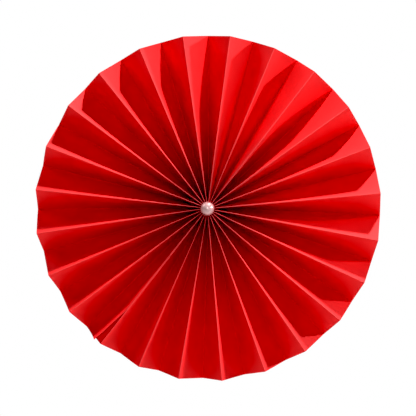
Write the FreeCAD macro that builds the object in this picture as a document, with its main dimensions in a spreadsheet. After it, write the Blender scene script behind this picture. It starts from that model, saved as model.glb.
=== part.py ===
import FreeCAD
import Part
import Sketcher

import math
import os

# Paper fan rosette. A strip of red card is folded into pleats, its two end panels are lapped and
# taped into a ring, and one long edge of the ring is gathered at the middle. A plug of glue sets
# the gathered edge, a card disc closes the back, and half a pearl closes the front.
#
# Frame: the rosette hangs upright. Its axis is Y and its front looks along -Y, +Z is up. The origin
# is the middle of the back disc's rear face, which goes against the wall. Clock angles are in
# degrees, clockwise from the top as the front is seen. All lengths are in millimetres.

SIZES = (
    ("rim_radius", 125.0, "axis to the tips of the folds"),
    ("pleat_count", 24, "front folds around the ring"),
    ("card_thickness", 0.2, "the folded card"),
    ("centre_depth", 25.8, "front fold to back fold at the middle, where the panels stand on edge"),
    ("rise_angle_opposite", 49.0, "degrees that the panels rise at the rim, opposite the seam"),
    ("rise_angle_seam", 52.5, "degrees that the panels rise at the rim, beside the seam"),
    ("seam_clock", 218.3, "clock angle of the lapped seam"),
    ("fold_width", 0.8, "flat top of a fold at the rim"),
    ("seam_gap", 5.0, "free end of the strip to the seam's fold, at the rim"),
    ("seam_gap_length", 32.0, "how far in from the rim the end of the strip stands free"),
    ("tape_width", 6.0, "double-sided tape in the lap"),
    ("tape_thickness", 0.08, "double-sided tape in the lap"),
    ("tape_inset", 1.5, "tape to the back fold of the lapped panel"),
    ("tuck_inset", 0.8, "tucked end of the strip to the same back fold"),
    ("pearl_radius", 5.0, "half pearl on the front"),
    ("pearl_lip", 0.65, "how far the pearl laps over the ends of the folds"),
    ("disc_radius", 20.0, "card disc on the back"),
    ("disc_thickness", 0.6, "card disc on the back"),
    ("glue_clearance", 0.02, "side of the glue plug to the ends of the folds"),
    ("seat_clearance", 0.01, "folds to the disc behind them and the pearl before them"),
)

LAP_ROWS = 7  # flat steps along a fold, from the hole to where the end of the strip comes free
FREE_ROWS = 3  # and from there to the rim
FOLD_FILL = 0.8  # share of its room that the flat top of a fold takes up at the gathered edge

# The same sizes, as the pieces that are turned or padded ask for them.
HOLE_RADIUS = "Sizes.pearl_radius - Sizes.pearl_lip"
GATHER_LENGTH = "Sizes.centre_depth + Sizes.card_thickness + 2 * Sizes.seat_clearance"

FRONT = FreeCAD.Vector(0, -1, 0)


def make_sheet(doc):
    sheet = doc.addObject("Spreadsheet::Sheet", "Sizes")
    for row, (alias, value, words) in enumerate(SIZES, start=1):
        sheet.set(f"A{row}", alias)
        sheet.set(f"B{row}", str(value))
        sheet.set(f"C{row}", words)
        sheet.setAlias(f"B{row}", alias)
    doc.recompute()
    return sheet


def polar(radius, angle, depth):
    """A point at a radius and a clock angle in radians, and at a place along the axis."""
    return FreeCAD.Vector(radius * math.sin(angle), depth, radius * math.cos(angle))


class Pleats:
    """Where the strip runs. Fold 0 is the free end of the strip, and even folds point to the front.

    A line of points along a fold, from the hole to the rim, is a column. Each point of it is a pair,
    one on the front side of the card and one on the back.
    """

    def __init__(self, sheet):
        self.sheet = sheet
        self.panels = 2 * int(round(sheet.pleat_count))
        self.half = sheet.card_thickness / 2
        self.lap = sheet.card_thickness + sheet.tape_thickness
        self.seam = math.radians(sheet.seam_clock)
        self.hole_radius = sheet.pearl_radius - sheet.pearl_lip
        self.lap_radius = sheet.rim_radius - sheet.seam_gap_length
        self.middle = -(sheet.disc_thickness + sheet.seat_clearance + sheet.centre_depth / 2 + self.half)
        # The panels lie flatter opposite the seam, so each spans a wider angle there.
        self.mean_slope = math.radians(sheet.rise_angle_seam + sheet.rise_angle_opposite) / 2
        swing = math.radians(sheet.rise_angle_seam - sheet.rise_angle_opposite) / 2
        turn = 2 * math.pi / self.panels
        self.slopes = [self.mean_slope + swing * math.cos((k + 0.5) * turn) for k in range(self.panels)]
        share = 2 * math.pi / sum(math.cos(slope) for slope in self.slopes)
        self.spans = [share * math.cos(slope) for slope in self.slopes]
        self.radii = self.row_radii()

    def row_radii(self):
        """Rows of points across the card, spaced so that each flat step turns by the same angle."""
        rim = self.sheet.rim_radius
        squash = math.cos(self.mean_slope)
        marks = [math.acos(squash * radius / rim) for radius in (self.hole_radius, self.lap_radius, rim)]
        angles = []
        for start, end, steps in zip(marks, marks[1:], (LAP_ROWS, FREE_ROWS)):
            angles += [start + (end - start) * step / steps for step in range(steps)]
        angles.append(marks[-1])
        return [rim * math.cos(angle) / squash for angle in angles]

    def panel_depth(self, radius, k):
        """Front fold to back fold of a panel along the axis, as its width stays the same."""
        k %= self.panels
        rim = self.sheet.rim_radius
        rim_depth = 2 * rim * math.sin(self.spans[k] / 2) * math.tan(self.slopes[k])
        share = (radius**2 - self.hole_radius**2) / (rim**2 - self.hole_radius**2)
        return math.sqrt(self.sheet.centre_depth**2 * (1 - share) + rim_depth**2 * share)

    def fold_depth(self, radius, fold):
        return (self.panel_depth(radius, fold - 1) + self.panel_depth(radius, fold)) / 2

    def fold_half_width(self, radius, fold):
        tight = FOLD_FILL * self.hole_radius * math.sin(self.spans[fold % self.panels] / 2)
        share = (radius - self.hole_radius) / (self.sheet.rim_radius - self.hole_radius)
        return tight + (self.sheet.fold_width / 2 - tight) * share

    def fold_angle(self, radius, fold):
        """Clock angle of a fold. The lap takes a little room, which all the panels give up."""
        full, rest = divmod(fold, self.panels)
        nominal = self.seam + 2 * math.pi * full + sum(self.spans[:rest])
        rise = math.atan2(self.panel_depth(radius, 0), 2 * radius * math.sin(self.spans[0] / 2))
        lap_angle = self.lap / math.sin(rise) / radius
        return nominal + lap_angle * (1 - fold / self.panels)

    def edge(self, row, fold, direction):
        """Where the flat top of a fold ends, on its clockwise side (1) or the other one (-1)."""
        radius = self.radii[row]
        angle = self.fold_angle(radius, fold)
        side = -1 if fold % 2 == 0 else 1
        top = polar(radius, angle, self.middle + side * self.fold_depth(radius, fold) / 2)
        clockwise = FreeCAD.Vector(math.cos(angle), 0, -math.sin(angle))
        end = top + clockwise * (direction * self.fold_half_width(radius, fold))
        return self.swung(row, end, clockwise) if fold == 0 else end

    def swung(self, row, end, clockwise):
        """The free end of the strip, swung off the seam's fold about the back fold of its panel."""
        share = max(0, self.radii[row] - self.lap_radius) / self.sheet.seam_gap_length
        hinge = self.edge(row, 1, -1)
        moved = end + clockwise * (self.sheet.seam_gap * share)
        level = math.hypot(moved.x - hinge.x, moved.z - hinge.z)
        moved.y = hinge.y - math.sqrt((end - hinge).Length ** 2 - level**2)
        return moved

    def panel_front(self, row, k):
        """Square to a panel, towards its front side."""
        along = self.edge(row, k + 1, -1) - self.edge(row, k, 1)
        level = FreeCAD.Vector(along.x, 0, along.z)
        return (FRONT * level.Length + level * (along.y / level.Length)).normalize()

    def column(self, fold, k):
        """The line where panel k meets one of its folds, mitred on both sides of the card."""
        points = []
        for row in range(len(self.radii)):
            middle = self.edge(row, fold, 1 if fold == k else -1)
            normal = self.panel_front(row, k)
            mitre = (normal + FRONT) * (self.half / (1 + normal.dot(FRONT)))
            points.append((middle + mitre, middle - mitre))
        return points

    def square(self, row, k, middle):
        """Both sides of the card at a point of panel k."""
        normal = self.panel_front(row, k) * self.half
        return middle + normal, middle - normal

    def free_end(self):
        return [self.square(row, 0, self.edge(row, 0, 1)) for row in range(len(self.radii))]

    def across(self, k, inset):
        """A line along panel k at an inset from its back fold."""
        points = []
        for row in range(len(self.radii)):
            end = self.edge(row, k + 1, -1)
            along = (end - self.edge(row, k, 1)).normalize()
            points.append(self.square(row, k, end - along * inset))
        return points

    def tape_columns(self, k):
        """The two sides of the tape on panel k."""
        near = self.sheet.tape_inset
        return [self.across(k, inset) for inset in (near + self.sheet.tape_width, near)]

    def strip_columns(self):
        """The whole strip, from its free end round to the tucked one."""
        last = self.panels
        columns = [self.free_end(), *self.tape_columns(0), self.column(1, 0)]
        for k in range(1, last):
            columns += [self.column(k, k), self.column(k + 1, k)]
        columns += [self.column(last, last), *self.tape_columns(last)]
        columns.append(self.across(last, self.sheet.tuck_inset))
        return columns


def facets(corners):
    """Two flat triangles over four points in order."""
    first, second, third, fourth = corners
    for triangle in ((first, second, third), (first, third, fourth)):
        yield Part.Face(Part.makePolygon([*triangle, triangle[0]]))


def sheet_solid(columns):
    """A sheet with a front, a back and its four edges."""
    faces = []
    rows = len(columns[0])
    for left, right in zip(columns, columns[1:]):
        for side in (0, 1):
            for row in range(rows - 1):
                corners = (left[row][side], right[row][side], right[row + 1][side], left[row + 1][side])
                faces.extend(facets(corners))
        for row in (0, rows - 1):
            faces.extend(facets((left[row][0], right[row][0], right[row][1], left[row][1])))
    for column in (columns[0], columns[-1]):
        for inner, outer in zip(column, column[1:]):
            faces.extend(facets((inner[0], outer[0], outer[1], inner[1])))
    shell = Part.makeShell(faces)
    shell.sewShape()
    solid = Part.makeSolid(shell)
    if solid.Volume < 0:
        solid.reverse()
    return solid


def make_pleated_card(doc, pleats):
    feature = doc.addObject("Part::Feature", "pleated_card")
    feature.Shape = sheet_solid(pleats.strip_columns())
    feature.Placement = FreeCAD.Placement()
    return feature


def make_seam_tape(doc, pleats):
    """Fills the lap: its front lies on the back of the first panel, its back on the last one."""
    columns = []
    for over, under in zip(pleats.tape_columns(0), pleats.tape_columns(pleats.panels)):
        rows = zip(over[: LAP_ROWS + 1], under)
        columns.append([(upper[1], lower[0]) for upper, lower in rows])
    feature = doc.addObject("Part::Feature", "seam_tape")
    feature.Shape = sheet_solid(columns)
    feature.Placement = FreeCAD.Placement()
    return feature


def make_body(doc, name):
    body = doc.addObject("PartDesign::Body", name)
    planes = {plane.Role: plane for plane in body.Origin.OriginFeatures}
    return body, planes


def make_sketch(body, plane, name):
    sketch = body.newObject("Sketcher::SketchObject", name)
    sketch.AttachmentSupport = (plane, [""])
    sketch.MapMode = "FlatFace"
    return sketch


def bind_radius(sketch, curve, radius):
    number = sketch.addConstraint(Sketcher.Constraint("Radius", curve, 1.0))
    sketch.renameConstraint(number, "radius")
    sketch.setExpression("Constraints.radius", radius)


def make_round_pad(doc, name, radius, length):
    """A round piece on the axis that grows towards the front."""
    body, planes = make_body(doc, name)
    sketch = make_sketch(body, planes["XZ_Plane"], f"{name}_circle")
    circle = sketch.addGeometry(Part.Circle(FreeCAD.Vector(), FreeCAD.Vector(0, 0, 1), 1.0))
    sketch.addConstraint(Sketcher.Constraint("Coincident", circle, 3, -1, 1))
    bind_radius(sketch, circle, radius)
    pad = body.newObject("PartDesign::Pad", f"{name}_pad")
    pad.Profile = sketch
    pad.setExpression("Length", length)
    body.Placement = FreeCAD.Placement()
    return body


def make_glue_plug(doc):
    """Fills the middle from the disc to the pearl and sets the gathered edge of the card."""
    radius = f"({HOLE_RADIUS}) * cos(90 / Sizes.pleat_count) - Sizes.glue_clearance"
    body = make_round_pad(doc, "glue_plug", radius, GATHER_LENGTH)
    body.setExpression("Placement.Base.y", "-Sizes.disc_thickness")
    return body


def make_back_disc(doc):
    return make_round_pad(doc, "back_disc", "Sizes.disc_radius", "Sizes.disc_thickness")


def make_pearl(doc):
    """Half a ball with a flat back, which sits on the ends of the folds."""
    body, planes = make_body(doc, "pearl")
    sketch = make_sketch(body, planes["XY_Plane"], "pearl_quarter")
    centre = FreeCAD.Vector()
    tip = FreeCAD.Vector(0, -1, 0)
    side = FreeCAD.Vector(1, 0, 0)
    circle = Part.Circle(centre, FreeCAD.Vector(0, 0, 1), 1.0)
    flat = sketch.addGeometry(Part.LineSegment(centre, side))
    arc = sketch.addGeometry(Part.ArcOfCircle(circle, -math.pi / 2, 0))
    axis = sketch.addGeometry(Part.LineSegment(tip, centre))
    constraints = (
        ("Coincident", flat, 1, -1, 1),
        ("Coincident", arc, 3, -1, 1),
        ("Coincident", axis, 2, -1, 1),
        ("Coincident", flat, 2, arc, 2),
        ("Coincident", axis, 1, arc, 1),
        ("Horizontal", flat),
        ("Vertical", axis),
    )
    for constraint in constraints:
        sketch.addConstraint(Sketcher.Constraint(*constraint))
    bind_radius(sketch, arc, "Sizes.pearl_radius")
    ball = body.newObject("PartDesign::Revolution", "pearl_ball")
    ball.Profile = sketch
    ball.ReferenceAxis = (sketch, ["V_Axis"])
    ball.Angle = 360
    body.setExpression("Placement.Base.y", f"-(Sizes.disc_thickness + {GATHER_LENGTH})")
    return body


def check(doc, pieces):
    for item in doc.Objects:
        if {"Invalid", "Error"} & set(item.State):
            raise RuntimeError(f"{item.Label} failed: {item.State}")
    for piece in pieces:
        if piece.Shape.isNull() or not piece.Shape.isValid() or len(piece.Shape.Solids) != 1:
            raise RuntimeError(f"{piece.Label} has no sound shape")


def main():
    doc = FreeCAD.newDocument("paper_fan_rosette")
    pleats = Pleats(make_sheet(doc))
    pieces = [
        make_pleated_card(doc, pleats),
        make_seam_tape(doc, pleats),
        make_glue_plug(doc),
        make_pearl(doc),
        make_back_disc(doc),
    ]
    doc.recompute()
    check(doc, pieces)
    os.makedirs("parts", exist_ok=True)
    for piece in pieces:
        piece.Shape.exportStep(f"parts/{piece.Label}.step")
        print(f"{piece.Label}: {piece.Shape.Volume:.3f} mm3")


main()
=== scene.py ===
import math
import random

import bpy
import numpy as np
from bpy.props import FloatProperty, FloatVectorProperty, IntProperty, PointerProperty
from bpy.types import Operator, Panel, PropertyGroup
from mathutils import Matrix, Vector


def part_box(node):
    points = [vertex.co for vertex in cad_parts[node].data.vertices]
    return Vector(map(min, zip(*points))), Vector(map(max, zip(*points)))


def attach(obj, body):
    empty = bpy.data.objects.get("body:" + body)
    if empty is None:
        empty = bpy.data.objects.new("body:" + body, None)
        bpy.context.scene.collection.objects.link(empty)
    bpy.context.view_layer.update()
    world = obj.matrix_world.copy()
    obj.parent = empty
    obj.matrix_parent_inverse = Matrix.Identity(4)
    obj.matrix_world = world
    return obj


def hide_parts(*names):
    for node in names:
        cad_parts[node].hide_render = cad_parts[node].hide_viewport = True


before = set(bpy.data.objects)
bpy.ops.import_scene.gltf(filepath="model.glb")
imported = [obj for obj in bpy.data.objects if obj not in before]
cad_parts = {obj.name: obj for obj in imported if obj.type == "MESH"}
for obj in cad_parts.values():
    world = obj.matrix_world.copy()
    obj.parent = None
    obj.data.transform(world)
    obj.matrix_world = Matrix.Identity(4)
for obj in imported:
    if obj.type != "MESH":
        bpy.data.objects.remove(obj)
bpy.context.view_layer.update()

bl_info = {
    "name": "Paper fan rosette",
    "version": (1, 0, 0),
    "blender": (4, 5, 0),
    "location": "3D View > Sidebar > Rosette",
    "description": "A wall rosette of pleated red card with a half pearl in its middle",
    "category": "Add Mesh",
}

# The rosette hangs upright. Its axis is Y and its front looks along -Y, +Z is up. The origin is the
# middle of the back disc's rear face. Clock angles run clockwise from the top, seen from the front.
# All lengths are in metres.

FRONT = np.array((0.0, -1.0, 0.0))
BODY = "root"
FULL_TURN = 2 * math.pi
CREASE_ANGLE = math.radians(45)  # sheets are drawn sharp where they turn by more than this
CUT_ANGLE = math.radians(30)  # turned pieces are drawn sharp where they turn by more than this


def card_reach():
    """Axis to the outermost point of the card."""
    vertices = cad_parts["pleated_card"].data.vertices
    return max(math.hypot(vertex.co.x, vertex.co.z) for vertex in vertices)


def middle_depth():
    """Place along the axis of the middle of the folds, between the disc and the pearl."""
    return (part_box("back_disc")[0].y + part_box("pearl")[1].y) / 2


# Sizes and colours


def a_length(name, description, default, **limits):
    return FloatProperty(name=name, description=description, default=default, unit="LENGTH", **limits)


def an_angle(name, description, degrees):
    """An angle, written in degrees and kept in radians."""
    default = math.radians(degrees)
    return FloatProperty(name=name, description=description, default=default, subtype="ANGLE")


def a_strength(name, description, default):
    """Watts of a light, or the strength of a glow."""
    return FloatProperty(name=name, description=description, default=default, min=0, precision=3)


def a_colour(name, description, default):
    return FloatVectorProperty(
        name=name,
        description=description,
        default=default,
        min=0,
        max=1,
        subtype="COLOR",
    )


def a_place(name, description, default):
    return FloatVectorProperty(
        name=name,
        description=description,
        default=default,
        subtype="TRANSLATION",
        unit="LENGTH",
    )


class CardSizes(PropertyGroup):
    rim_radius: a_length("Rim radius", "Axis to the tips of the folds", card_reach(), min=0.02)
    hole_radius: a_length("Hole radius", "Axis to the gathered edge of the card", 0.00435, min=0.001)
    pleats: IntProperty(name="Pleats", description="Front folds around the ring", default=24, min=6)
    thickness: a_length("Card thickness", "Thickness of the folded card", 0.0002, min=0.00005)
    tape_thickness: a_length(
        "Tape thickness",
        "Double-sided tape between the two lapped panels",
        0.00008,
        min=0.00001,
    )
    centre_depth: a_length("Centre depth", "Front fold to back fold at the middle", 0.0258, min=0.005)
    slope_far: an_angle(
        "Slope away from the seam",
        "How steep the panels stand at the rim, opposite the seam",
        49,
    )
    slope_seam: an_angle(
        "Slope at the seam",
        "How steep the panels stand at the rim, beside the seam",
        52.5,
    )
    seam_clock: an_angle("Seam", "Clock angle of the lapped seam", 218.3)
    fold_radius: a_length(
        "Fold radius",
        "Radius of the round top of a fold at the rim",
        0.00028,
        min=0.00015,
    )
    free_gap: a_length(
        "Free end gap",
        "How far the free end of the strip springs off the seam's fold at the rim",
        0.005,
    )
    free_length: a_length(
        "Free end length",
        "How far in from the rim the end of the strip stands free",
        0.032,
    )
    tuck_inset: a_length(
        "Tuck inset",
        "How far the tucked end of the strip stops short of the fold over it",
        0.0008,
    )
    stray: an_angle(
        "Stray of the folds",
        "How far a hand-made fold may stray from its even place at the rim",
        0.45,
    )
    bow: a_length("Bow of the panels", "How far a panel bulges from flat at the rim", 0.0005)
    colour: a_colour("Card", "Colour of the card's face", (0.88, 0.032, 0.034))
    # Pale colour of cut edges and worn fold tops; on the front fold tops it is also a painted highlight.
    pale_wear_edge_and_highlight_colour: a_colour(
        "Worn fold and highlight",
        "Colour of the card where a fold has rubbed its fibres",
        (0.94, 0.17, 0.17),
    )
    # Painted shade: a dark colour put on the front folds near the middle, where shade falls between the
    # gathered pleats.
    centre_shade_colour: a_colour(
        "Painted centre shade",
        "Colour of the front folds near the middle, darkened as painted shade",
        (0.36, 0.048, 0.050),
    )
    centre_shade_length: a_length(
        "Centre shade length",
        "How far out from the gathered edge the front folds are darkened",
        0.07,
    )


class PearlSizes(PropertyGroup):
    radius: a_length(
        "Pearl radius",
        "Radius of the half pearl",
        (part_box("pearl")[1].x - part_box("pearl")[0].x) / 2,
        min=0.001,
    )
    foot: a_length("Foot", "Height of the pearl's straight foot, under the ball", 0.00035)
    colour: a_colour("Pearl", "Colour of the pearl's lacquer", (0.60, 0.38, 0.37))
    # Painted reflection: the red that the pearl's rim takes from the card round it.
    painted_rim_reflection: a_colour("Rim reflection", "Colour of the lacquer at a slant", (0.50, 0.12, 0.12))


class BackingSizes(PropertyGroup):
    disc_radius: a_length(
        "Disc radius",
        "Radius of the card disc on the back",
        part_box("back_disc")[1].x,
        min=0.005,
    )
    cut_round: a_length("Cut edge", "Rounding that the punch leaves on the disc's edge", 0.00012)
    fold_print: a_length("Fold print", "How deep the folds behind it print into the disc", 0.00003)
    print_width: a_length("Fold print width", "Half the width of a fold's print in the disc", 0.0006)
    board_colour: a_colour("Board", "Colour of the disc", (0.62, 0.012, 0.014))
    glue_colour: a_colour("Glue", "Colour of the set glue", (0.78, 0.66, 0.45))
    tape_inset: a_length("Tape inset", "Edge of the tape to the back fold beside it", 0.0015)
    tape_width: a_length("Tape width", "Width of the double-sided tape", 0.006)
    tape_colour: a_colour("Tape", "Colour of the double-sided tape", (0.80, 0.76, 0.70))


class StageSizes(PropertyGroup):
    camera_distance: a_length("Camera distance", "Camera to the middle of the rosette", 1.55)
    camera_tilt: an_angle("Camera off the axis", "How far the camera stands off the rosette's axis", 3)
    camera_clock: an_angle(
        "Camera clock",
        "Clock angle towards which the camera stands off the axis",
        45,
    )
    view_width: a_length("View width", "Width of the view at the rosette", 0.302)
    low_rise: an_angle(
        "Low lights' rise",
        "How far the three low lights stand in front of the rosette's plane",
        6,
    )
    low_distance: a_length("Low lights' distance", "Low lights to the middle of the rosette", 1.3)
    key_clock: an_angle("Key light clock", "Clock angle of the main light", 21)
    key_size: a_length("Key light size", "Diameter of the main light and the side light", 0.08)
    key_power: a_strength("Key light power", "Watts of the main light", 29.5)
    side_clock: an_angle("Side light clock", "Clock angle of the second low light", 71)
    side_power: a_strength("Side light power", "Watts of the second low light", 11.5)
    soft_clock: an_angle("Soft side light clock", "Clock angle of the soft low light", -45)
    soft_size: a_length("Soft side light size", "Diameter of the soft low light", 0.6)
    soft_power: a_strength("Soft side light power", "Watts of the soft low light", 4.2)
    front_place: a_place(
        "Front light place",
        "Soft front light, from the middle of the rosette",
        (0.03, -0.5, 0.09),
    )
    front_size: a_length("Front light size", "Diameter of the soft front light", 0.2)
    front_power: a_strength("Front light power", "Watts of the soft front light", 0.68)
    back_place: a_place(
        "Back light place",
        "Soft back light, from the middle of the rosette",
        (0.4, 1.5, 1.8),
    )
    back_size: a_length("Back light size", "Diameter of the soft back light", 1.8)
    back_power: a_strength("Back light power", "Watts of the soft back light", 13.0)
    back_reach: a_length(
        "Back light reach",
        "Place along the axis where the back light meets the floor",
        0.2,
    )
    sky: a_strength("Room light", "Strength of the light from all round", 0.14)
    black_point: a_strength("Black point", "Light that still comes out black in the picture", 0.019)
    floor_drop: a_length("Floor drop", "Middle of the rosette down to the floor", 0.5)
    floor_side: a_length("Floor side", "Half the width of the floor", 3.0)
    floor_front: a_length("Floor front", "How far the floor reaches in front of the rosette", 3.4)
    floor_back: a_length("Floor back", "How far the floor reaches behind the rosette", 2.3)
    floor_glow: a_strength("Floor glow", "Strength of the glow that the camera sees in the floor", 0.8)
    floor_colour: a_colour("Floor", "Colour of the floor", (0.80, 0.79, 0.78))


# Shapes


def polar(radius, angle, depth):
    """Points at a radius, a clock angle and a place along the axis."""
    radius, angle, depth = np.broadcast_arrays(radius, angle, depth)
    return np.stack((radius * np.sin(angle), depth, radius * np.cos(angle)), axis=-1)


def unit(vectors):
    return vectors / np.linalg.norm(vectors, axis=-1, keepdims=True)


def turn_between(first, second, share):
    """A direction that turns evenly from the first to the second."""
    least = 1e-6
    angle = np.arccos(np.clip((first * second).sum(-1, keepdims=True), -1, 1))
    angle = np.maximum(angle, least)
    return unit(first * np.sin((1 - share) * angle) + second * np.sin(share * angle))


class Pleats:
    """Where the strip runs. Fold 0 is its free end, and even folds point to the front."""

    rows = 40  # from the hole to the rim
    row_crowding = 1.25  # above 1, the rows lie closer together near the hole
    panel_steps = 8
    fold_steps = 6
    fold_fill = 0.8  # share of its room that a fold takes up at the gathered edge
    curl_out = 1.15  # above 1, the free end springs off later towards the rim
    curl_across = 1.6  # above 1, it bends more towards its edge
    folding_seed = 24  # picks the small faults of folding by hand

    def __init__(self, sizes):
        self.sizes = sizes
        self.panels = 2 * sizes.pleats
        self.half = sizes.thickness / 2
        self.lap = sizes.thickness + sizes.tape_thickness
        self.middle = middle_depth()
        mean = (sizes.slope_seam + sizes.slope_far) / 2
        swing = (sizes.slope_seam - sizes.slope_far) / 2
        turn = FULL_TURN / self.panels
        self.slopes = [mean + swing * math.cos((k + 0.5) * turn) for k in range(self.panels)]
        share = FULL_TURN / sum(math.cos(slope) for slope in self.slopes)
        self.spans = [share * math.cos(slope) for slope in self.slopes]
        steps = np.linspace(0, 1, self.rows + 1) ** self.row_crowding
        self.radii = sizes.hole_radius + (sizes.rim_radius - sizes.hole_radius) * steps
        self.outward = (self.radii - sizes.hole_radius) / (sizes.rim_radius - sizes.hole_radius)
        self.free = np.maximum(0, 1 - (sizes.rim_radius - self.radii) / sizes.free_length)
        self.hand_made()

    def hand_made(self):
        """Small faults of folding by hand. The lapped panels have none, so that they stay together."""
        chance = random.Random(self.folding_seed)
        lapped = {0, 1, self.panels, self.panels + 1}

        def draw(most):
            folds = range(self.panels + 2)
            return [0 if k in lapped else chance.uniform(-1, 1) * most for k in folds]

        self.strays = draw(self.sizes.stray)
        self.bows = draw(self.sizes.bow)

    def panel_depth(self, k):
        """Front fold to back fold of a panel along the axis, as its width stays the same."""
        k %= self.panels
        sizes = self.sizes
        rim_depth = 2 * sizes.rim_radius * math.sin(self.spans[k] / 2) * math.tan(self.slopes[k])
        share = (self.radii**2 - sizes.hole_radius**2) / (sizes.rim_radius**2 - sizes.hole_radius**2)
        return np.sqrt(sizes.centre_depth**2 * (1 - share) + rim_depth**2 * share)

    def fold_radius(self, fold):
        """Folds are tight at the gathered edge and open out towards the rim."""
        room = self.sizes.hole_radius * math.sin(self.spans[fold % self.panels] / 2)
        tight = self.fold_fill * room
        return tight + (self.sizes.fold_radius - tight) * self.outward

    def fold_clock(self, fold):
        """Clock angle of a fold. The lap takes a little room, which all the panels give up."""
        full, rest = divmod(fold, self.panels)
        even = self.sizes.seam_clock + FULL_TURN * full + sum(self.spans[:rest])
        rise = np.arctan2(self.panel_depth(0), 2 * self.radii * math.sin(self.spans[0] / 2))
        lap_angle = self.lap / np.sin(rise) / self.radii
        return even + lap_angle * (1 - fold / self.panels) + self.strays[fold] * self.outward

    def fold_centre(self, fold):
        """Middle of the circle that the fold bends round."""
        side = -1 if fold % 2 == 0 else 1
        reach = (self.panel_depth(fold - 1) + self.panel_depth(fold)) / 4 - self.fold_radius(fold)
        return polar(self.radii, self.fold_clock(fold), self.middle + side * reach)

    def panel(self, k):
        """Both ends of a panel, which touches the circles of its two folds, and its front normal."""
        start, end = self.fold_centre(k), self.fold_centre(k + 1)
        level = (end - start) * (1, 0, 1)
        run = np.linalg.norm(level, axis=-1)
        rise = np.abs(end[:, 1] - start[:, 1])
        reach = self.fold_radius(k) + self.fold_radius(k + 1)
        slope = np.arctan2(rise, run) + np.arcsin(reach / np.hypot(run, rise))
        side = 1 if k % 2 == 0 else -1
        normal = FRONT * np.cos(slope)[:, None] + side * unit(level) * np.sin(slope)[:, None]
        first = start + side * normal * self.fold_radius(k)[:, None]
        last = end - side * normal * self.fold_radius(k + 1)[:, None]
        return first, last, normal

    def panel_column(self, k, share):
        """A line from the hole to the rim at a share of the panel's width."""
        first, last, normal = self.panel(k)
        bulge = self.bows[k] * 4 * share * (1 - share) * self.outward
        points = first + (last - first) * share + normal * bulge[:, None]
        if k == 0:
            points = points + self.spring(first, last) * (1 - share) ** self.curl_across
        return points, normal

    def spring(self, first, last):
        """How the free end springs off the seam's fold about the back fold of its panel."""
        clock = self.fold_clock(0)
        clockwise = np.stack((np.cos(clock), np.zeros_like(clock), -np.sin(clock)), axis=-1)
        moved = first + clockwise * (self.sizes.free_gap * self.free**self.curl_out)[:, None]
        width = np.linalg.norm(first - last, axis=-1)
        level = np.linalg.norm((moved - last) * (1, 0, 1), axis=-1)
        moved[:, 1] = last[:, 1] - np.sqrt(width**2 - level**2)
        return moved - first

    def fold_column(self, fold, share):
        """A line from the hole to the rim on the rounded top of a fold."""
        before, after = self.panel(fold - 1)[2], self.panel(fold)[2]
        if share < 0.5:
            normal = turn_between(before, np.broadcast_to(FRONT, before.shape), 2 * share)
        else:
            normal = turn_between(np.broadcast_to(FRONT, after.shape), after, 2 * share - 1)
        side = 1 if fold % 2 == 0 else -1
        return self.fold_centre(fold) + side * normal * self.fold_radius(fold)[:, None], normal

    def strip(self):
        """Columns of the whole strip: points, normals, bend and share of the way to the front folds.

        The bend is 1 on the top of a front fold, -1 on the top of a back fold and 0 on a panel.
        """
        columns = []
        tuck = 1 - self.sizes.tuck_inset / self.sizes.centre_depth
        for k in range(self.panels + 1):
            far = tuck if k == self.panels else 1
            for step in range(self.panel_steps + 1):
                share = far * step / self.panel_steps
                front = share if k % 2 else 1 - share
                columns.append((*self.panel_column(k, share), 0.0, front))
            if k < self.panels:
                for step in range(1, self.fold_steps):
                    share = step / self.fold_steps
                    top = 1 - (2 * share - 1) ** 2
                    bend, front = (top, 1.0) if k % 2 else (-top, 0.0)
                    columns.append((*self.fold_column(k + 1, share), bend, front))
        return columns


def new_piece(name, mesh):
    piece = bpy.data.objects.new(name, mesh)
    bpy.context.scene.collection.objects.link(piece)
    return piece


def sheet_mesh(name, columns, half):
    """A sheet with a front, a back and four cut edges, from columns of points and normals."""
    count = len(columns[0][0])
    points = np.array([column[0] for column in columns])
    normals = np.array([column[1] for column in columns])
    vertices = np.stack((points + normals * half, points - normals * half), axis=2).reshape(-1, 3)
    width = len(columns)

    def at(column, row, side):
        return (column * count + row) * 2 + side

    faces = []
    for left in range(width - 1):
        right = left + 1
        for row in range(count - 1):
            after = row + 1
            faces.append((at(left, row, 0), at(left, after, 0), at(right, after, 0), at(right, row, 0)))
            faces.append((at(left, row, 1), at(right, row, 1), at(right, after, 1), at(left, after, 1)))
    broad = len(faces)
    last = count - 1
    for left in range(width - 1):
        right = left + 1
        faces.append((at(left, 0, 0), at(right, 0, 0), at(right, 0, 1), at(left, 0, 1)))
        faces.append((at(left, last, 0), at(left, last, 1), at(right, last, 1), at(right, last, 0)))
    last = width - 1
    for row in range(count - 1):
        faces.append((at(0, row, 0), at(0, row, 1), at(0, row + 1, 1), at(0, row + 1, 0)))
        faces.append((at(last, row, 0), at(last, row + 1, 0), at(last, row + 1, 1), at(last, row, 1)))

    mesh = bpy.data.meshes.new(name)
    mesh.from_pydata(vertices.tolist(), [], faces)
    smooth = [number < broad for number in range(len(faces))]
    mesh.polygons.foreach_set("use_smooth", smooth)
    mesh.set_sharp_from_angle(angle=CREASE_ANGLE)
    cut = mesh.attributes.new("cut_edge", "FLOAT", "FACE")
    cut.data.foreach_set("value", [0.0 if flag else 1.0 for flag in smooth])

    lay_flat(mesh, points)
    return mesh


def lay_flat(mesh, points):
    """A UV map in metres: along the strip at the rim, and out from the gathered edge."""
    count = points.shape[1]
    steps_along = np.linalg.norm(points[1:, -1] - points[:-1, -1], axis=-1)
    steps_out = np.linalg.norm(points[0, 1:] - points[0, :-1], axis=-1)
    along = np.concatenate(([0], np.cumsum(steps_along)))
    out = np.concatenate(([0], np.cumsum(steps_out)))
    corners = np.empty(len(mesh.loops), np.int64)
    mesh.loops.foreach_get("vertex_index", corners)
    spots = corners // 2
    flat = np.stack((along[spots // count], out[spots % count]), axis=1)
    mesh.uv_layers.new(name="strip").data.foreach_set("uv", flat.ravel())


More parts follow.
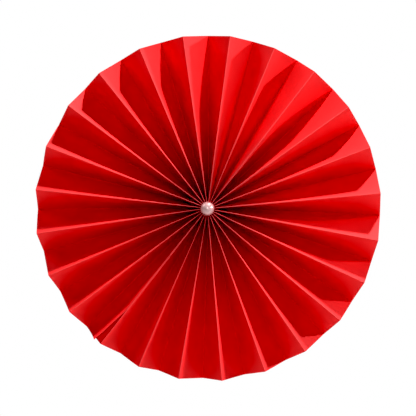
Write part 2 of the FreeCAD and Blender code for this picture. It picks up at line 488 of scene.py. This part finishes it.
def mark_folds(mesh, columns):
    """Stores the outsides of the folds, where the card wears and a painted highlight goes, and the share
    of the way to the front folds, which places the painted centre shade.
    """
    count = len(columns[0][0])
    bends = np.array([column[2] for column in columns])
    fronts = np.array([column[3] for column in columns])
    marks = {
        "fold_line": np.maximum(0, np.stack((bends, -bends), axis=1)),
        "front_share": np.stack((fronts, fronts), axis=1),
    }
    for name, sides in marks.items():
        attribute = mesh.attributes.new(name, "FLOAT", "POINT")
        attribute.data.foreach_set("value", np.repeat(sides[:, None, :], count, axis=1).ravel())


def turned_mesh(name, profile, steps):
    """A solid turned about the axis from (radius, depth) points, with a pole at each end."""
    vertices = [(0, profile[0][1], 0)]
    for radius, depth in profile[1:-1]:
        for step in range(steps):
            angle = FULL_TURN * step / steps
            vertices.append((radius * math.sin(angle), depth, radius * math.cos(angle)))
    vertices.append((0, profile[-1][1], 0))
    faces = []
    rings = len(profile) - 2
    last = len(vertices) - 1
    for step in range(steps):
        after = (step + 1) % steps
        faces.append((0, 1 + after, 1 + step))
        for ring in range(rings - 1):
            inner, outer = 1 + ring * steps, 1 + (ring + 1) * steps
            faces.append((inner + step, inner + after, outer + after, outer + step))
        base = 1 + (rings - 1) * steps
        faces.append((base + step, base + after, last))
    mesh = bpy.data.meshes.new(name)
    mesh.from_pydata(vertices, [], faces)
    mesh.polygons.foreach_set("use_smooth", [True] * len(faces))
    mesh.set_sharp_from_angle(angle=CUT_ANGLE)
    return mesh


# Finishes


class Graph:
    """Adds nodes to a material or a node group, each to the right of the one before."""

    spacing = 200

    def __init__(self, tree):
        self.tree = tree

    def add(self, kind, inputs=None, **settings):
        node = self.tree.nodes.new(kind)
        node.location = (self.spacing * len(self.tree.nodes), 0)
        for name, value in settings.items():
            setattr(node, name, value)
        for socket, value in (inputs or {}).items():
            self.feed(node.inputs[socket], value)
        return node

    def feed(self, socket, value):
        if isinstance(value, bpy.types.NodeSocket):
            self.tree.links.new(value, socket)
        else:
            socket.default_value = value

    def mix(self, mask, first, second):
        """A colour between two, or the second over the first where the mask is 1."""
        node = self.add("ShaderNodeMix", data_type="RGBA")
        for socket, value in zip((0, 6, 7), (mask, first, second)):
            self.feed(node.inputs[socket], value)
        return node.outputs[2]

    def work_out(self, operation, first, second):
        return self.add("ShaderNodeMath", {0: first, 1: second}, operation=operation).outputs[0]

    def spread(self, value, low, high):
        """A mask from 0 to 1 spread over another range."""
        return self.add("ShaderNodeMapRange", {"Value": value, "To Min": low, "To Max": high}).outputs[0]

    def widen(self, value, low, high):
        """A mask from 0 to 1 out of what lies between two values."""
        inputs = {"Value": value, "From Min": low, "From Max": high}
        return self.add("ShaderNodeMapRange", inputs).outputs[0]

    def noise(self, place, scale, **inputs):
        inputs = {"Vector": place, "Scale": scale, **inputs}
        return self.add("ShaderNodeTexNoise", inputs).outputs[0]

    def stored(self, name):
        """A value that the mesh keeps at its points or faces."""
        return self.add("ShaderNodeAttribute", attribute_name=name).outputs["Fac"]


def opaque(colour):
    return (*colour, 1.0)


def shade(colour, share):
    return (*(part * share for part in colour), 1.0)


def new_group(name, outputs):
    """A node group that makes masks out of a place and a scale."""
    group = bpy.data.node_groups.new(name, "ShaderNodeTree")
    for label, kind in (("Place", "NodeSocketVector"), ("Scale", "NodeSocketFloat")):
        group.interface.new_socket(label, in_out="INPUT", socket_type=kind)
    for label in outputs:
        group.interface.new_socket(label, in_out="OUTPUT", socket_type="NodeSocketFloat")
    graph = Graph(group)
    start = graph.add("NodeGroupInput")
    end = graph.add("NodeGroupOutput")
    return group, graph, start.outputs["Place"], start.outputs["Scale"], end


def paper_fibre():
    """Fibres that lie mostly one way, with short ones between them, and clouds in the pulp."""
    name = "Paper fibre"
    if name in bpy.data.node_groups:
        return bpy.data.node_groups[name]
    group, graph, place, scale, end = new_group(name, ("Fibre", "Cloud"))
    drawn_out = (1, 4, 4)
    stretched = graph.add("ShaderNodeMapping", {"Vector": place, "Scale": drawn_out}).outputs[0]
    long_ones = graph.noise(stretched, scale, Detail=6, Roughness=0.65)
    fine_scale = graph.work_out("MULTIPLY", scale, 6)
    short_ones = graph.noise(place, fine_scale, Detail=3)
    both = graph.work_out("ADD", graph.work_out("MULTIPLY", long_ones, 0.65), short_ones)
    fibre = graph.widen(both, 0.55, 1.1)
    coarse_scale = graph.work_out("DIVIDE", scale, 12)
    cloud = graph.noise(place, coarse_scale, Detail=3)
    graph.feed(end.inputs["Fibre"], fibre)
    graph.feed(end.inputs["Cloud"], graph.widen(cloud, 0.3, 0.7))
    return group


def soft_mottle():
    """Uneven patches with a finer grain in them."""
    name = "Soft mottle"
    if name in bpy.data.node_groups:
        return bpy.data.node_groups[name]
    group, graph, place, scale, end = new_group(name, ("Patch", "Grain"))
    patch = graph.noise(place, scale, Detail=2)
    fine_scale = graph.work_out("MULTIPLY", scale, 14)
    grain = graph.noise(place, fine_scale, Detail=4)
    graph.feed(end.inputs["Patch"], graph.widen(patch, 0.3, 0.7))
    graph.feed(end.inputs["Grain"], grain)
    return group


def new_finish(name):
    """A material with its graph and its shader."""
    material = bpy.data.materials.new(name)
    material.use_nodes = True
    graph = Graph(material.node_tree)
    shader = material.node_tree.nodes["Principled BSDF"]
    return material, graph, shader


def use_group(graph, group, place, scale):
    """Puts a node group in, and gives what it makes, by name."""
    node = graph.add("ShaderNodeGroup", node_tree=group)
    graph.feed(node.inputs["Place"], place)
    graph.feed(node.inputs["Scale"], scale)
    return node.outputs


def raise_surface(graph, shader, height, distance, strength):
    bump = graph.add("ShaderNodeBump", {"Height": height, "Distance": distance, "Strength": strength})
    graph.feed(shader.inputs["Normal"], bump.outputs[0])


def red_card(sizes):
    """Smooth dyed card: fibre grain, worn fold tops that also carry a painted highlight, painted shade on
    the front folds near the middle, paler cut edges.
    """
    material, graph, shader = new_finish("Red card")
    place = graph.add("ShaderNodeUVMap", uv_map="strip").outputs[0]
    paper = use_group(graph, paper_fibre(), place, scale=620.0)
    fibre = paper["Fibre"]
    outward = graph.add("ShaderNodeSeparateXYZ", {0: place}).outputs["Y"]
    # Painted shade near the middle: 0 at the gathered edge, rising to 1 at the centre shade length.
    outside_centre_shade = graph.widen(outward, sizes.centre_shade_length / 8, sizes.centre_shade_length)

    cloudy = graph.mix(paper["Cloud"], shade(sizes.colour, 0.90), opaque(sizes.colour))
    grained = graph.mix(graph.spread(fibre, 0.0, 0.16), cloudy, shade(sizes.colour, 0.55))
    # Painted shade: the front folds near the middle get a darker colour, standing for the shade between
    # the tight pleats round the pearl.
    near_front = graph.work_out("POWER", graph.stored("front_share"), 2.0)
    centre_shade_mask = graph.work_out("MULTIPLY", graph.spread(outside_centre_shade, 0.9, 0.0), near_front)
    centre_shaded = graph.mix(centre_shade_mask, grained, opaque(sizes.centre_shade_colour))
    # Fold tops: worn fibres, and on the front a painted highlight along each crest, faded out near the
    # middle as painted shade.
    rubbed = graph.work_out("MULTIPLY", graph.stored("fold_line"), graph.spread(fibre, 0.25, 0.55))
    fold_toned = graph.mix(graph.work_out("MULTIPLY", rubbed, outside_centre_shade), centre_shaded, opaque(sizes.pale_wear_edge_and_highlight_colour))
    cut = graph.stored("cut_edge")
    edged = graph.mix(graph.work_out("MULTIPLY", cut, 0.45), fold_toned, opaque(sizes.pale_wear_edge_and_highlight_colour))
    graph.feed(shader.inputs["Base Color"], edged)

    dull_cut = graph.work_out("MULTIPLY", cut, 0.3)
    roughness = graph.work_out("ADD", graph.spread(fibre, 0.54, 0.66), dull_cut)
    graph.feed(shader.inputs["Roughness"], roughness)
    shader.inputs["IOR"].default_value = 1.47
    shader.inputs["Specular IOR Level"].default_value = 0.12
    raise_surface(graph, shader, fibre, distance=0.00003, strength=0.35)
    return material


def red_board(sizes):
    """Thicker card of the disc, with the print of the folds paler than the rest."""
    material, graph, shader = new_finish("Red board")
    place = graph.add("ShaderNodeTexCoord").outputs["Object"]
    paper = use_group(graph, paper_fibre(), place, scale=480.0)
    fibre = paper["Fibre"]
    grained = graph.mix(fibre, shade(sizes.board_colour, 0.82), opaque(sizes.board_colour))
    cloudy = graph.mix(graph.spread(paper["Cloud"], 0.0, 0.25), grained, shade(sizes.board_colour, 0.7))
    rubbed = graph.work_out("MULTIPLY", graph.stored("pressed"), 0.35)
    fold_toned = graph.mix(rubbed, cloudy, shade(sizes.board_colour, 1.45))
    graph.feed(shader.inputs["Base Color"], fold_toned)
    graph.feed(shader.inputs["Roughness"], graph.spread(fibre, 0.58, 0.74))
    shader.inputs["Specular IOR Level"].default_value = 0.2
    raise_surface(graph, shader, fibre, distance=0.00006, strength=0.5)
    return material


def pearl_plastic(sizes):
    """Lacquered bead plastic: a clear coat over a colour that turns red at the slant, a painted
    reflection of the red card round the pearl.
    """
    material, graph, shader = new_finish("Pearl lacquer")
    place = graph.add("ShaderNodeTexCoord").outputs["Object"]
    mottle = use_group(graph, soft_mottle(), place, scale=260.0)
    slant = graph.add("ShaderNodeLayerWeight", {"Blend": 0.5}).outputs["Facing"]
    # Painted reflection: the pearl turns red towards its rim, where it would mirror the red card.
    slant_and_patch = graph.work_out("ADD", slant, graph.spread(mottle["Patch"], -0.04, 0.04))
    lacquer = graph.mix(slant_and_patch, opaque(sizes.colour), opaque(sizes.painted_rim_reflection))
    graph.feed(shader.inputs["Base Color"], lacquer)
    graph.feed(shader.inputs["Roughness"], graph.spread(mottle["Grain"], 0.16, 0.30))
    graph.feed(shader.inputs["Metallic"], graph.spread(mottle["Patch"], 0.12, 0.16))
    shader.inputs["Coat Weight"].default_value = 0.8
    shader.inputs["Coat Roughness"].default_value = 0.06
    raise_surface(graph, shader, mottle["Grain"], distance=0.00001, strength=0.2)
    return material


def set_glue(sizes):
    """Hot glue that has set: waxy, a little cloudy."""
    material, graph, shader = new_finish("Set glue")
    place = graph.add("ShaderNodeTexCoord").outputs["Object"]
    mottle = use_group(graph, soft_mottle(), place, scale=320.0)
    waxy = graph.mix(mottle["Patch"], opaque(sizes.glue_colour), shade(sizes.glue_colour, 0.75))
    graph.feed(shader.inputs["Base Color"], waxy)
    graph.feed(shader.inputs["Roughness"], graph.spread(mottle["Grain"], 0.25, 0.5))
    shader.inputs["Subsurface Weight"].default_value = 0.2
    shader.inputs["Subsurface Scale"].default_value = 0.002
    raise_surface(graph, shader, mottle["Grain"], distance=0.0001, strength=0.4)
    return material


def clear_tape(sizes):
    """Double-sided tape: a pale film with small bubbles of air."""
    material, graph, shader = new_finish("Double-sided tape")
    place = graph.add("ShaderNodeTexCoord").outputs["Object"]
    mottle = use_group(graph, soft_mottle(), place, scale=700.0)
    film = graph.mix(mottle["Patch"], opaque(sizes.tape_colour), shade(sizes.tape_colour, 0.85))
    graph.feed(shader.inputs["Base Color"], film)
    graph.feed(shader.inputs["Roughness"], graph.spread(mottle["Grain"], 0.2, 0.45))
    raise_surface(graph, shader, mottle["Grain"], distance=0.00002, strength=0.3)
    return material


def pale_floor(sizes):
    """A pale floor. The camera sees it glow, so that it looks even from every side."""
    material, graph, shader = new_finish("Pale floor")
    place = graph.add("ShaderNodeTexCoord").outputs["Object"]
    mottle = use_group(graph, soft_mottle(), place, scale=3.0)
    tone = graph.mix(mottle["Patch"], opaque(sizes.floor_colour), shade(sizes.floor_colour, 0.97))
    graph.feed(shader.inputs["Base Color"], tone)
    graph.feed(shader.inputs["Roughness"], graph.spread(mottle["Grain"], 0.75, 0.85))
    graph.feed(shader.inputs["Emission Color"], tone)
    seen = graph.add("ShaderNodeLightPath").outputs["Is Camera Ray"]
    graph.feed(shader.inputs["Emission Strength"], graph.spread(seen, 0.0, sizes.floor_glow))
    return material


# Pieces


def finish_piece(piece, material, node):
    piece.data.materials.append(material)
    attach(piece, BODY)
    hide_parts(node)


class ROSETTE_OT_card(Operator):
    """Folds the strip of card into pleats and closes it into a ring"""

    bl_idname = "rosette.card"
    bl_label = "Pleated card"

    def execute(self, context):
        sizes = context.scene.rosette_card
        pleats = Pleats(sizes)
        columns = pleats.strip()
        mesh = sheet_mesh("pleated_card_folded", columns, pleats.half)
        mark_folds(mesh, columns)
        piece = new_piece("pleated_card_folded", mesh)
        finish_piece(piece, red_card(sizes), "pleated_card")
        return {"FINISHED"}


class ROSETTE_OT_pearl(Operator):
    """Turns the half pearl that closes the front"""

    bl_idname = "rosette.pearl"
    bl_label = "Half pearl"

    def execute(self, context):
        sizes = context.scene.rosette_pearl
        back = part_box("pearl")[1].y
        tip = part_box("pearl")[0].y
        chamfer = sizes.foot / 3
        rise = back - tip - sizes.foot
        rings, around = 28, 96
        profile = [(0, back), (sizes.radius - chamfer, back), (sizes.radius, back - chamfer)]
        for ring in range(rings + 1):
            angle = math.pi / 2 * ring / rings
            profile.append((sizes.radius * math.cos(angle), back - sizes.foot - rise * math.sin(angle)))
        mesh = turned_mesh("pearl_lacquered", profile, around)
        piece = new_piece("pearl_lacquered", mesh)
        finish_piece(piece, pearl_plastic(sizes), "pearl")
        return {"FINISHED"}


class ROSETTE_OT_backing(Operator):
    """Makes what holds the ring together: the disc on the back, the glue and the tape"""

    bl_idname = "rosette.backing"
    bl_label = "Disc, glue and tape"

    def execute(self, context):
        sizes = context.scene.rosette_backing
        card = context.scene.rosette_card
        self.make_disc(sizes, card)
        self.make_tape(sizes, card)
        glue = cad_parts["glue_plug"]
        glue.data.materials.clear()
        glue.data.materials.append(set_glue(sizes))
        return {"FINISHED"}

    def make_disc(self, sizes, card):
        """The punched disc, with the back folds printed through to its rear."""
        low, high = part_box("back_disc")
        rounding = sizes.cut_round
        flat = sizes.disc_radius - rounding
        rings, around = 30, 288
        profile = [(0, high.y)]
        profile += [(flat * ring / rings, high.y) for ring in range(1, rings + 1)]
        profile.append((sizes.disc_radius, high.y - rounding))
        profile.append((sizes.disc_radius, low.y + rounding))
        profile += [(flat * ring / rings, low.y) for ring in range(rings, 0, -1)]
        profile.append((0, low.y))
        mesh = turned_mesh("back_disc_punched", profile, around)
        self.print_folds(mesh, sizes, Pleats(card), flat)
        piece = new_piece("back_disc_punched", mesh)
        finish_piece(piece, red_board(sizes), "back_disc")

    def print_folds(self, mesh, sizes, pleats, flat):
        """Presses the back folds into the disc's rear and stores where they are."""
        clocks = [float(pleats.fold_clock(k)[0]) % FULL_TURN for k in range(1, pleats.panels, 2)]
        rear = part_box("back_disc")[1].y - sizes.cut_round / 2
        pressed = []
        for vertex in mesh.vertices:
            radius = math.hypot(vertex.co.x, vertex.co.z)
            clock = math.atan2(vertex.co.x, vertex.co.z) % FULL_TURN
            mark = 0.0
            if pleats.sizes.hole_radius < radius < flat and vertex.co.y > rear:
                apart = min(abs((clock - fold + math.pi) % FULL_TURN - math.pi) for fold in clocks)
                mark = math.exp(-((apart * radius / sizes.print_width) ** 2))
            pressed.append(mark)
            vertex.co.y -= mark * sizes.fold_print
        attribute = mesh.attributes.new("pressed", "FLOAT", "POINT")
        attribute.data.foreach_set("value", pressed)

    def make_tape(self, sizes, card):
        """The tape between the first panel and the tucked one."""
        pleats = Pleats(card)
        steps = 8
        over = pleats.panel(0)
        width = np.linalg.norm(over[1] - over[0], axis=-1)
        lapped = pleats.free <= 0
        columns = []
        for step in range(steps + 1):
            inset = sizes.tape_inset + sizes.tape_width * (1 - step / steps)
            share = (1 - inset / width)[:, None]
            columns.append(self.lap_middle(pleats, share, lapped))
        mesh = sheet_mesh("seam_tape_film", columns, card.tape_thickness / 2)
        piece = new_piece("seam_tape_film", mesh)
        finish_piece(piece, clear_tape(sizes), "seam_tape")

    def lap_middle(self, pleats, share, lapped):
        """Half way between the two lapped panels."""
        first, last, normal = pleats.panel(0)
        over = first + (last - first) * share
        first, last, _ = pleats.panel(pleats.panels)
        under = first + (last - first) * share
        return ((over + under) / 2)[lapped], normal[lapped], 0.0


class ROSETTE_OT_stage(Operator):
    """Sets the floor, the lights and the camera"""

    bl_idname = "rosette.stage"
    bl_label = "Floor, lights and camera"

    def execute(self, context):
        sizes = context.scene.rosette_stage
        middle = Vector((0, middle_depth(), 0))
        self.make_floor(sizes)
        self.make_sky(context.scene, sizes)
        self.make_low_lights(sizes, middle)
        self.make_soft_lights(sizes, middle)
        self.make_camera(context.scene, sizes, middle)
        self.set_tone(context.scene.view_settings, sizes)
        return {"FINISHED"}

    def make_floor(self, sizes):
        side, front, back = sizes.floor_side, -sizes.floor_front, sizes.floor_back
        level = -sizes.floor_drop
        corners = [(-side, front, level), (side, front, level), (side, back, level), (-side, back, level)]
        mesh = bpy.data.meshes.new("floor")
        mesh.from_pydata(corners, [], [(0, 1, 2, 3)])
        floor = new_piece("floor", mesh)
        mesh.materials.append(pale_floor(sizes))

    def make_sky(self, scene, sizes):
        """Even light from all round. The camera sees it as plain white."""
        world = bpy.data.worlds.new("White room")
        world.use_nodes = True
        graph = Graph(world.node_tree)
        light = world.node_tree.nodes["Background"]
        light.inputs["Color"].default_value = (1.0, 1.0, 1.0, 1.0)
        light.inputs["Strength"].default_value = sizes.sky
        white = graph.add("ShaderNodeBackground", {"Color": (1.0, 1.0, 1.0, 1.0), "Strength": 1.0})
        seen = graph.add("ShaderNodeLightPath").outputs["Is Camera Ray"]
        either = graph.add("ShaderNodeMixShader", {0: seen, 1: light.outputs[0], 2: white.outputs[0]})
        graph.feed(world.node_tree.nodes["World Output"].inputs["Surface"], either.outputs[0])
        scene.world = world

    def make_low_lights(self, sizes, middle):
        """Lights nearly in the rosette's plane, which catch the folds and the corners at the rim."""
        low_lights = (
            ("Key light", sizes.key_clock, sizes.key_size, sizes.key_power),
            ("Side light", sizes.side_clock, sizes.key_size, sizes.side_power),
            ("Soft side light", sizes.soft_clock, sizes.soft_size, sizes.soft_power),
        )
        out = math.cos(sizes.low_rise)
        for name, clock, size, power in low_lights:
            towards = Vector((out * math.sin(clock), -math.sin(sizes.low_rise), out * math.cos(clock)))
            self.add_light(name, middle + towards * sizes.low_distance, middle, size, power)

    def make_soft_lights(self, sizes, middle):
        """One that reaches into the valleys from the front, and one for the back and the floor."""
        front = middle + Vector(sizes.front_place)
        self.add_light("Soft front light", front, middle, sizes.front_size, sizes.front_power)
        back = middle + Vector(sizes.back_place)
        floor = Vector((0, sizes.back_reach, -sizes.floor_drop))
        self.add_light("Soft back light", back, floor, sizes.back_size, sizes.back_power)

    def add_light(self, name, place, aim, size, power):
        light = bpy.data.lights.new(name, "AREA")
        light.shape = "DISK"
        light.size = size
        light.energy = power
        lamp = bpy.data.objects.new(name, light)
        lamp.location = place
        lamp.rotation_euler = (aim - place).to_track_quat("-Z", "Y").to_euler()
        bpy.context.scene.collection.objects.link(lamp)

    def make_camera(self, scene, sizes, middle):
        camera = bpy.data.objects.new("Camera", bpy.data.cameras.new("Camera"))
        off = math.sin(sizes.camera_tilt)
        side, up = off * math.sin(sizes.camera_clock), off * math.cos(sizes.camera_clock)
        direction = Vector((side, -math.cos(sizes.camera_tilt), up))
        camera.location = middle + direction * sizes.camera_distance
        camera.rotation_euler = (-direction).to_track_quat("-Z", "Y").to_euler()
        camera.data.lens = camera.data.sensor_width * sizes.camera_distance / sizes.view_width
        scene.collection.objects.link(camera)
        scene.camera = camera

    def set_tone(self, view, sizes):
        """A plain transform in which the darkest tones go to black, as on a cut-out product photo."""
        view.view_transform = "Standard"
        view.use_curve_mapping = True
        view.curve_mapping.black_level = (sizes.black_point,) * 3
        view.curve_mapping.update()


class ROSETTE_PT_panel(Panel):
    """Lists the pieces of the rosette with their sizes and colours"""

    bl_idname = "ROSETTE_PT_panel"
    bl_label = "Paper fan rosette"
    bl_space_type = "VIEW_3D"
    bl_region_type = "UI"
    bl_category = "Rosette"

    def draw(self, context):
        for operator, group in STEPS:
            box = self.layout.box()
            box.operator(operator.bl_idname)
            settings = getattr(context.scene, group)
            for name in settings.__annotations__:
                box.prop(settings, name)


STEPS = (
    (ROSETTE_OT_card, "rosette_card"),
    (ROSETTE_OT_pearl, "rosette_pearl"),
    (ROSETTE_OT_backing, "rosette_backing"),
    (ROSETTE_OT_stage, "rosette_stage"),
)
SETTINGS = {
    "rosette_card": CardSizes,
    "rosette_pearl": PearlSizes,
    "rosette_backing": BackingSizes,
    "rosette_stage": StageSizes,
}


def register():
    for name, group in SETTINGS.items():
        bpy.utils.register_class(group)
        setattr(bpy.types.Scene, name, PointerProperty(type=group))
    for operator, _ in STEPS:
        bpy.utils.register_class(operator)
    bpy.utils.register_class(ROSETTE_PT_panel)


def unregister():
    bpy.utils.unregister_class(ROSETTE_PT_panel)
    for operator, _ in reversed(STEPS):
        bpy.utils.unregister_class(operator)
    for name, group in SETTINGS.items():
        delattr(bpy.types.Scene, name)
        bpy.utils.unregister_class(group)


def main():
    register()
    bpy.ops.rosette.card()
    bpy.ops.rosette.pearl()
    bpy.ops.rosette.backing()
    bpy.ops.rosette.stage()


if __name__ == "__main__":
    main()
